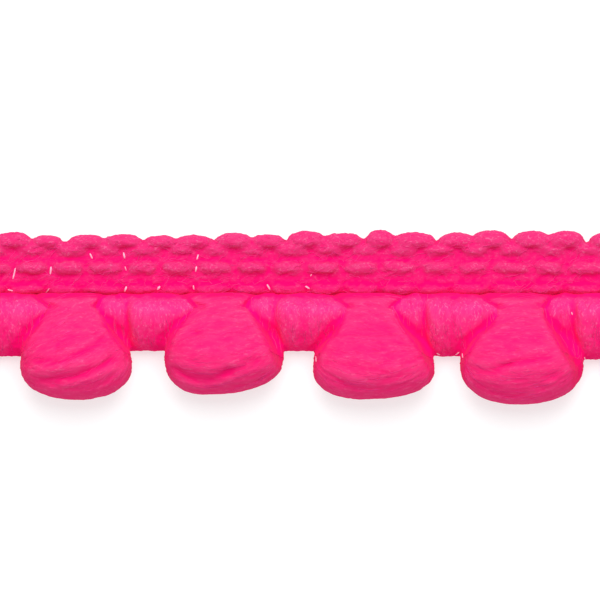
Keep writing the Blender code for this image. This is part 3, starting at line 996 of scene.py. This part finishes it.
def wall(number, side, y):
    """Where a pompom meets the bar at one side; below the bar's foot, in the gap."""
    places = SIDE_Y[:FOOT_PLACES] + (GAP_Y,)
    widths = reaches(number, side)[:FOOT_PLACES] + (PITCH / MM / 2 - GAP_HALF_WIDTH,)
    return pompom_middle(number) + side * read_off(y / MM, places, widths) * MM


def bar_loops(number):
    """The loops of one bar, whose outer edges tuck in under the pompoms beside it."""
    before = reaches(max(0, number - 1), 1)
    after = reaches(min(number, POMPOM_COUNT - 1), -1)
    half_pitch = PITCH / MM / 2
    left = tuple(read_off(y, SIDE_Y, before) - half_pitch - LOOP_TUCK for y in OUTLINE_Y)
    right = tuple(half_pitch - read_off(y, SIDE_Y, after) + LOOP_TUCK for y in OUTLINE_Y)
    fold, middle, last = BAR_LOOPS
    return fold._replace(left=left), middle, last._replace(right=right)


def build_loop(points, faces, loop, middle_x, foot_reach):
    """Add one weft loop of a bar: it dips under the heading and wraps the bundle at its foot."""
    top = OUTLINE_Y[0] * MM
    foot = OUTLINE_Y[-1] * foot_reach * MM
    rings = []
    for ring in range(LOOP_ALONG + 1):
        y = blend(top, foot, (1.0 - math.cos(math.pi * ring / LOOP_ALONG)) / 2.0)
        place = y / MM if y > 0 else y / MM / foot_reach
        left = middle_x + read_off(place, OUTLINE_Y, loop.left) * MM
        right = middle_x + read_off(place, OUTLINE_Y, loop.right) * MM
        half_height = read_off(place, OUTLINE_Y, loop.crest) * MM / 2
        near_end = min(1.0, min(top - y, y - foot) / LOOP_END)
        fullness = math.sqrt(max(0.0, 1.0 - (1.0 - near_end) ** 2))
        if ring in (0, LOOP_ALONG):
            rings.append([Vector(((left + right) / 2, y, half_height))])
            continue
        section = []
        for step in range(LOOP_AROUND):
            side, rise = ring_shares(step, LOOP_AROUND, LOOP_SQUARENESS)
            x = blend(left, right, (side * fullness ** LOOP_CORNER + 1.0) / 2.0)
            section.append(Vector((x, y, half_height * (1.0 + rise * fullness))))
        rings.append(section)
    add_rings(points, faces, rings)


def bar_grain(place):
    """A bar's fibres run across the trim."""
    return (place.y, place.x, place.z), (0.0, 1.0, 0.0), painted_light(BAR_PAINTED_SHADE, place.y)


# Pompoms


def bell_section(low, high, bell, t):
    """One ring of a pompom in its box, t from 0 at the neck to 1 at the lowest point."""
    centre = (low.x + high.x) / 2
    half = (high.x - low.x) / 2
    half_height = high.z / 2
    if t < WIDEST_AT:
        share = t / WIDEST_AT
        y = blend(NECK_TOP, bell.wide_y, share)
        swell = math.sin(math.pi / 2 * share)
        rounding = math.sin(math.pi / 2 * min(1.0, share / NECK_ROUND_SHARE))
        left = blend(NECK_HALF_LEFT, half, swell ** LEFT_SWELL) * rounding ** NECK_CORNER
        right = blend(NECK_HALF_RIGHT, half, swell ** SWELL) * rounding ** NECK_CORNER
        height = blend(NECK_HALF_HEIGHT, half_height, swell ** SWELL) * rounding
        return y, centre - left, centre + right, blend(NECK_MIDDLE, BELLY_MIDDLE, swell ** SWELL), height
    turn = math.pi / 2 * (t - WIDEST_AT) / (1.0 - WIDEST_AT)
    drop = math.sin(turn) ** (2.0 / BOTTOM_ROUNDNESS)
    share = max(0.0, math.cos(turn)) ** (2.0 / BOTTOM_ROUNDNESS)
    y = blend(bell.wide_y, low.y, drop)
    middle = centre + bell.low_shift * (1.0 - share)
    width = half * share
    return y, middle - width, middle + width, blend(BELLY_MIDDLE, TIP_MIDDLE, drop), half_height * share


def crease_line(crease, x):
    """Y of a crease's soft curve at x, through its three points."""
    (x1, y1), (x2, y2), (x3, y3) = crease.left, crease.middle, crease.right
    return (y1 * (x - x2) * (x - x3) / ((x1 - x2) * (x1 - x3))
            + y2 * (x - x1) * (x - x3) / ((x2 - x1) * (x2 - x3))
            + y3 * (x - x1) * (x - x2) / ((x3 - x1) * (x3 - x2)))


def crease_drop(number, x, y):
    """How far the creases of one pompom sink its upper face, and lift it beside them."""
    total = 0.0
    for crease in CREASES:
        along = x / MM
        if crease.pompom not in (number, EVERY_POMPOM):
            continue
        outside = max(crease.left[0] - along, along - crease.right[0], 0.0)
        fade = math.exp(-((outside * MM / CREASE_FADE) ** 2))
        if fade < CREASE_FAINTEST:
            continue
        inside = min(max(along, crease.left[0]), crease.right[0])
        off_line = (y / MM - crease_line(crease, inside)) / crease.width
        valley = math.exp(-(off_line ** 2))
        lip = math.exp(-((abs(off_line) - CREASE_LIP_AT) ** 2))
        total += crease.depth * MM * fade * (valley - CREASE_LIP * lip)
    return total


def flank_sink(number, x, y):
    """How much lower a pompom is beyond its raised middle, as a share of its height."""
    reach = read_off(y / MM, SIDE_Y, reaches(number, x)) * MM
    return FLANK_SINK * smooth_step(0.0, FLANK_WIDTH, abs(x) - reach)


def build_pompom(number, points, faces):
    """Add one puffed pompom: it swells out of its neck into a bell, with a few creases."""
    low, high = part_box(f"pompom_{number + 1}")
    bell = BELLS[number]
    centre = (low.x + high.x) / 2
    rings = []
    for ring in range(POMPOM_ALONG + 1):
        y, left, right, middle_z, height = bell_section(low, high, bell, ring / POMPOM_ALONG)
        if ring in (0, POMPOM_ALONG):
            rings.append([Vector(((left + right) / 2, y, middle_z))])
            continue
        width = (right - left) / 2
        section = []
        for step in range(POMPOM_AROUND):
            side, rise = ring_shares(step, POMPOM_AROUND, BELLY_FULLNESS)
            x = blend(left, right, (side + 1.0) / 2.0)
            outwards = Vector((side * height, 0.0, rise * width)).normalized()
            drop = crease_drop(number, x - centre, y) * max(0.0, rise)
            point = Vector((x, y, middle_z + height * rise)) - outwards * drop
            point.z *= 1.0 - flank_sink(number, x - centre, y)
            section.append(point)
        rings.append(section)
    add_rings(points, faces, rings)


def pompom_grain(number, place):
    """A pompom's fibres run from bar to bar and spread out between them."""
    bell = BELLS[number]
    off = place.x - pompom_middle(number)
    spread = math.sqrt(max(BUNDLE_LEAST, 1.0 - (off / BUNDLE_REACH) ** 2))
    across = (place.y - BUNDLE_ENTRY_Y - bell.slant * off) / spread
    bend = across * off / (BUNDLE_REACH * BUNDLE_REACH * spread)
    way = Vector((1.0, bell.slant - bend, 0.0)).normalized()
    grain = (place.x, across, (place.z - BELLY_MIDDLE) / spread)
    return grain, way, painted_light(POMPOM_PAINTED_LIGHT, place.y)


# Fringe: bars and pompoms pressed together


def pressed_painted_shade(number, place):
    """Painted shade: how much darker the yarn is coloured where a pompom is pressed against the bars beside
    it.
    """
    off = (place.x - pompom_middle(number)) / MM
    y = place.y / MM
    beyond = abs(off) - read_off(y, SIDE_Y, reaches(number, off))
    along_side = smooth_step(*PRESSED_INSIDE, beyond) * (1.0 - smooth_step(*PRESSED_OUTSIDE, beyond))
    corner = smooth_step(*CORNER_Y, y) * (1.0 - smooth_step(*CORNER_HALF_WIDTH, abs(beyond)))
    return PRESSED_PAINTED_SHADE * max(along_side * smooth_step(*PRESSED_Y, y), corner)


def fringe_grain(place):
    """The grain at a place of the fringe, which lies in a bar or in a pompom."""
    number = min(max(0, math.floor((place.x + TRIM_END) / PITCH)), POMPOM_COUNT - 1)
    if wall(number, -1, place.y) < place.x < wall(number, 1, place.y):
        grain, way, light = pompom_grain(number, place)
    else:
        grain, way, light = bar_grain(place)
    return grain, way, light + pressed_painted_shade(number, place)


def build_fringe(settle, relief):
    """All bars and pompoms as one soft skin, so that they lie closely against each other."""
    points = []
    faces = []
    for number in range(BAR_COUNT):
        for loop in bar_loops(number):
            build_loop(points, faces, loop, bar_middle(number), BAR_FEET[number])
    for number in range(POMPOM_COUNT):
        build_pompom(number, points, faces)
    fringe = melt_together(new_piece("fringe", points, faces), FRINGE_MESH)
    grow(fringe, settle, {"Passes": FRINGE_PASSES})
    lay_grain(fringe, fringe_grain)
    return grow(fringe, relief, FRINGE_RELIEF)


def cut_wall(shape, number, side, outwards):
    """Cut off what lies beyond a pompom's left or right wall, outwards 1 or -1 along the trim."""
    for point in shape.verts:
        point.co.x -= wall(number, side, point.co.y)
    cut_away(shape, (0, 0, 0), (outwards, 0, 0))
    for point in shape.verts:
        point.co.x += wall(number, side, point.co.y)


def start_piece(fringe, low_x, high_x):
    """The part of the fringe between two places along the trim, not closed yet."""
    shape = take_shape(fringe.data)
    far = [point for point in shape.verts if not low_x < point.co.x < high_x]
    bmesh.ops.delete(shape, geom=far, context="VERTS")
    return shape


def finish_cut(shape, name, material):
    """A piece of the fringe, cut plainly under the heading and at the trim's ends."""
    cut_away(shape, (0, NECK_CUT, 0), (0, 1, 0))
    trim_ends(shape)
    mesh = give_shape(shape, bpy.data.meshes.new(name))
    mesh.materials.append(material)
    return place_object(name, mesh)


def cut_bar(fringe, number, material):
    """One bar of weft loops, up to the pompoms beside it."""
    middle = bar_middle(number)
    shape = start_piece(fringe, middle - PITCH / 2, middle + PITCH / 2)
    if number > 0:
        cut_wall(shape, number - 1, 1, -1)
    if number < POMPOM_COUNT:
        cut_wall(shape, number, -1, 1)
    return finish_cut(shape, f"weft_loops_{number + 1}", material)


def cut_pompom(fringe, number, material):
    """One puffed pompom between two bars."""
    shape = start_piece(fringe, bar_middle(number), bar_middle(number + 1))
    for side in (-1, 1):
        cut_wall(shape, number, side, side)
    return finish_cut(shape, f"puffed_pompom_{number + 1}", material)


# Binding thread and loose filaments


def add_thread(points, faces, path, radius):
    """Add a tube with rounded ends along a path."""
    rings = [[path[0]]]
    for number in range(1, len(path) - 1):
        along = (path[number + 1] - path[number - 1]).normalized()
        aside = along.cross(Vector((0, 0, 1))).normalized()
        up = aside.cross(along)
        size = radius * math.sin(math.pi * number / (len(path) - 1)) ** THREAD_BLUNTNESS
        section = []
        for step in range(THREAD_SIDES):
            angle = 2 * math.pi * step / THREAD_SIDES
            section.append(path[number] + aside * size * math.cos(angle) + up * size * math.sin(angle))
        rings.append(section)
    rings.append([path[-1]])
    add_rings(points, faces, rings)


def surface_height(pieces, x, y):
    """The height of the highest of these pieces at a point, looking down from above."""
    best = 0.0
    for piece in pieces:
        hit, place, _, _ = piece.ray_cast(Vector((x, y, ABOVE_TRIM)), Vector((0, 0, -1)))
        if hit:
            best = max(best, place.z)
    return best


def build_binding_thread(pieces, material):
    """The clear thread where it catches the light: short stitches over the joints, pale as a painted glint.
    """
    points = []
    faces = []
    for repeat in (-1, 0, 1):
        for glint in GLINTS:
            column = glint.column + repeat * PHOTO_PERIOD
            top = from_photo(column - glint.lean, glint.top)
            bottom = from_photo(column + glint.lean, glint.bottom)
            if max(abs(top.x), abs(bottom.x)) > TRIM_END - THREAD_END_GAP:
                continue
            radius = glint.width * PHOTO_SCALE / 2
            path = [top.lerp(bottom, number / (THREAD_POINTS - 1)) for number in range(THREAD_POINTS)]
            heights = [surface_height(pieces, point.x, point.y) for point in path]
            on_yarn = [height for height in heights if height > 0]
            if not on_yarn:
                continue
            for number, point in enumerate(path):
                bow = math.sin(math.pi * number / (THREAD_POINTS - 1))
                point.z = max(heights[number], min(on_yarn)) + radius * (bow - THREAD_SINK)
            add_thread(points, faces, path, radius)
    thread = new_piece("binding_thread", points, faces)
    thread.data.materials.append(material)
    return thread


def lay_filaments(name, pieces, tree, values):
    """A layer of loose filaments over finished pieces."""
    return grow(join_pieces(name, [piece.copy() for piece in pieces]), tree, values)


# Stage


def add_floor():
    """The plain pale surface."""
    sides = ((-1, -1), (1, -1), (1, 1), (-1, 1))
    corners = [(FLOOR_HALF * x, FLOOR_HALF * y, -FLOOR_DROP) for x, y in sides]
    mesh = bpy.data.meshes.new("pale_surface")
    mesh.from_pydata(corners, [], [(0, 1, 2, 3)])
    mesh.materials.append(plain_material("pale_surface", PALE_SURFACE))
    floor = place_object("pale_surface", mesh)


def add_area_light(name, place, target, size, power):
    """A soft square light aimed at a point."""
    lamp = bpy.data.lights.new(name, "AREA")
    lamp.size = size
    lamp.energy = power
    light = place_object(name, lamp)
    light.location = place
    light.rotation_euler = (Vector(target) - Vector(place)).to_track_quat("-Z", "Y").to_euler()


def light_scene():
    """Soft daylight all round, with a broad light from behind the heading."""
    world = bpy.data.worlds.new("soft_daylight")
    world.use_nodes = True
    set_values(world.node_tree.nodes["Background"], {"Color": (1.0, 1.0, 1.0, 1.0), "Strength": DAYLIGHT})
    bpy.context.scene.world = world
    add_area_light("broad_key", KEY_PLACE, (0, 0, 0), KEY_SIZE, KEY_POWER)
    bpy.context.scene.view_settings.view_transform = "Standard"


def add_camera():
    """The camera straight above the photograph's middle, as wide as its frame."""
    middle = from_photo(PHOTO_SIZE / 2, PHOTO_SIZE / 2)
    data = bpy.data.cameras.new("camera")
    data.sensor_width = CAMERA_SENSOR
    data.lens = CAMERA_SENSOR * (CAMERA_HEIGHT - CAMERA_PLANE) / (PHOTO_SIZE * PHOTO_SCALE)
    data.clip_start = CAMERA_CLIP
    camera = place_object("camera", data)
    camera.location = (middle.x, middle.y, CAMERA_HEIGHT)
    bpy.context.scene.camera = camera


def finish_piece(piece, slot, *nodes):
    """Let a piece ride with the trim and stand for its solids, which are hidden; its slot is not used."""
    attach(piece, "root")
    if nodes:
        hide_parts(*nodes)


def main():
    add_camera()
    light_scene()
    add_floor()
    fibres = yarn_fibres_group()
    yarns = {name: yarn_material(name, yarn, fibres) for name, yarn in YARNS.items()}
    stitches = stitch_row_tree()
    settle = settle_yarn_tree()
    relief = fibre_relief_tree()

    heading = build_heading(stitches, settle, relief, yarns["heading_yarn"])
    fringe = build_fringe(settle, relief)
    bars = [cut_bar(fringe, number, yarns["bar_yarn"]) for number in range(BAR_COUNT)]
    pompoms = [cut_pompom(fringe, number, yarns["pompom_yarn"]) for number in range(POMPOM_COUNT)]
    bpy.data.objects.remove(fringe)

    bpy.context.view_layer.update()
    glint_thread = plain_material("binding_thread", GLINT_PAINTED_THREAD)
    thread = build_binding_thread([heading, *bars, *pompoms], glint_thread)

    layers = []
    filaments = loose_filament_tree()
    pale = plain_material("loose_filament", LOOSE_FILAMENT)
    fuzzy = (
        ("heading", [heading], STITCH_FUZZ), ("bar", bars, BAR_FUZZ), ("pompom", pompoms, POMPOM_FUZZ))
    for part, pieces, fuzz in fuzzy:
        layer = lay_filaments(f"{part}_filaments", pieces, filaments, {**fuzz, "Material": pale})
        layers.append((f"{part}_yarn", layer))

    finish_piece(heading, "heading_yarn", "heading")
    finish_piece(thread, "heading_yarn")
    for number, piece in enumerate(bars):
        finish_piece(piece, "bar_yarn", f"weft_bar_{number + 1}")
    for number, piece in enumerate(pompoms):
        finish_piece(piece, "pompom_yarn", f"pompom_{number + 1}")
    for slot, piece in layers:
        finish_piece(piece, slot)

    bpy.context.view_layer.update()


main()
